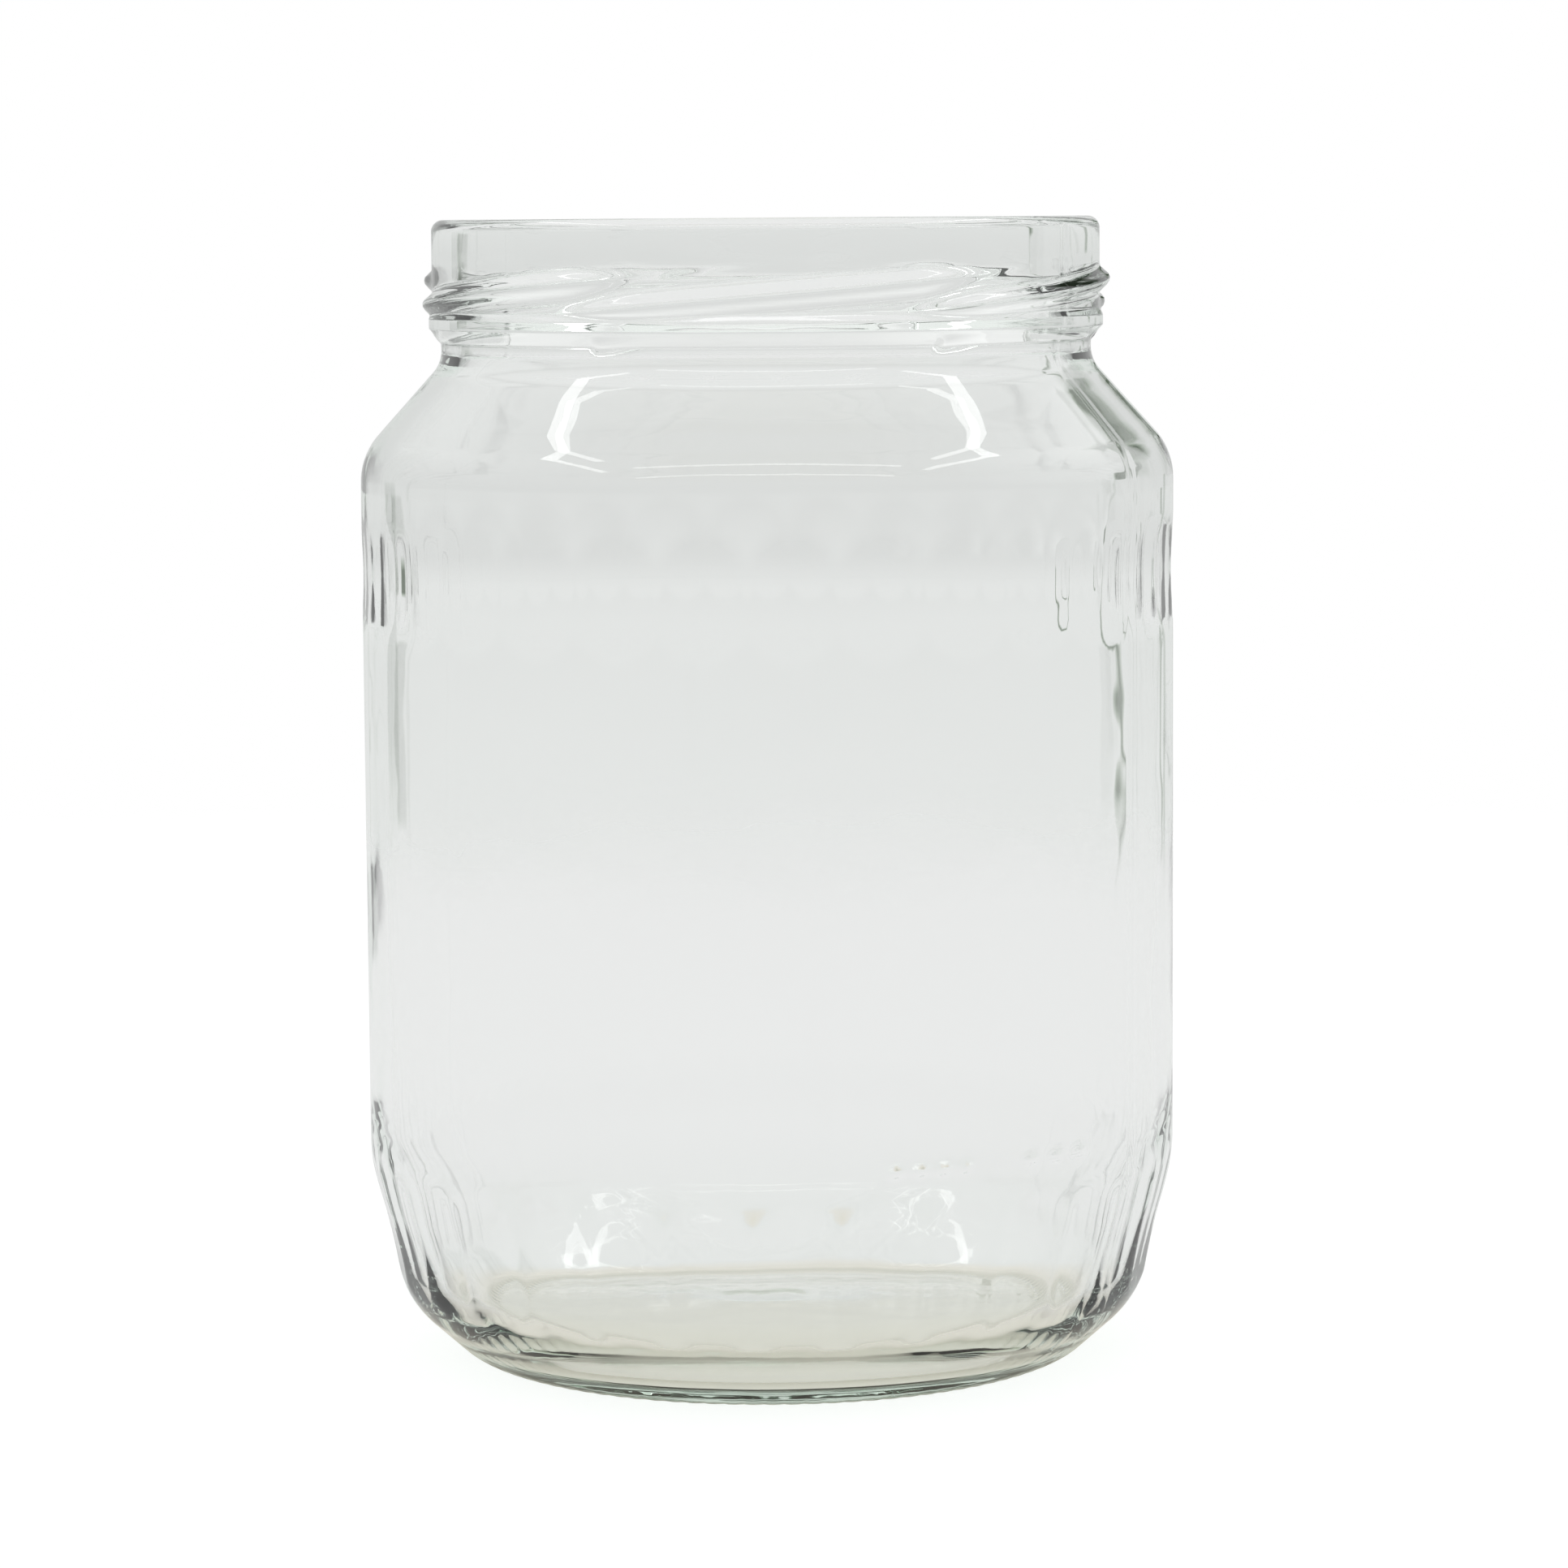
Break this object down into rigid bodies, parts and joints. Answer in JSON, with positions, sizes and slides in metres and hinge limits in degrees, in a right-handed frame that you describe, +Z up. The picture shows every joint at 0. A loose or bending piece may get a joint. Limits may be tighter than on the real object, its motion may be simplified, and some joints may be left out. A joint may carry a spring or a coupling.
{
  "type": "glass preserving jar",
  "caption": "Open cylindrical clear glass preserving jar with an interrupted twist-off thread, sloped shoulder, fluted bands and a rounded heel.",
  "frame": {"origin": "centre of the bearing ring that the jar stands on", "axes": "+Z up the jar's axis, out of the mouth; -Y is the front"},
  "size_m": [0.096, 0.096, 0.1347],
  "materials": {
    "clear_glass": "clear moulded soda-lime glass, glossy, faint green in the thick heel"
  },
  "bodies": {
    "root": {"glass_jar": "clear_glass"}
  },
  "joints": []
}
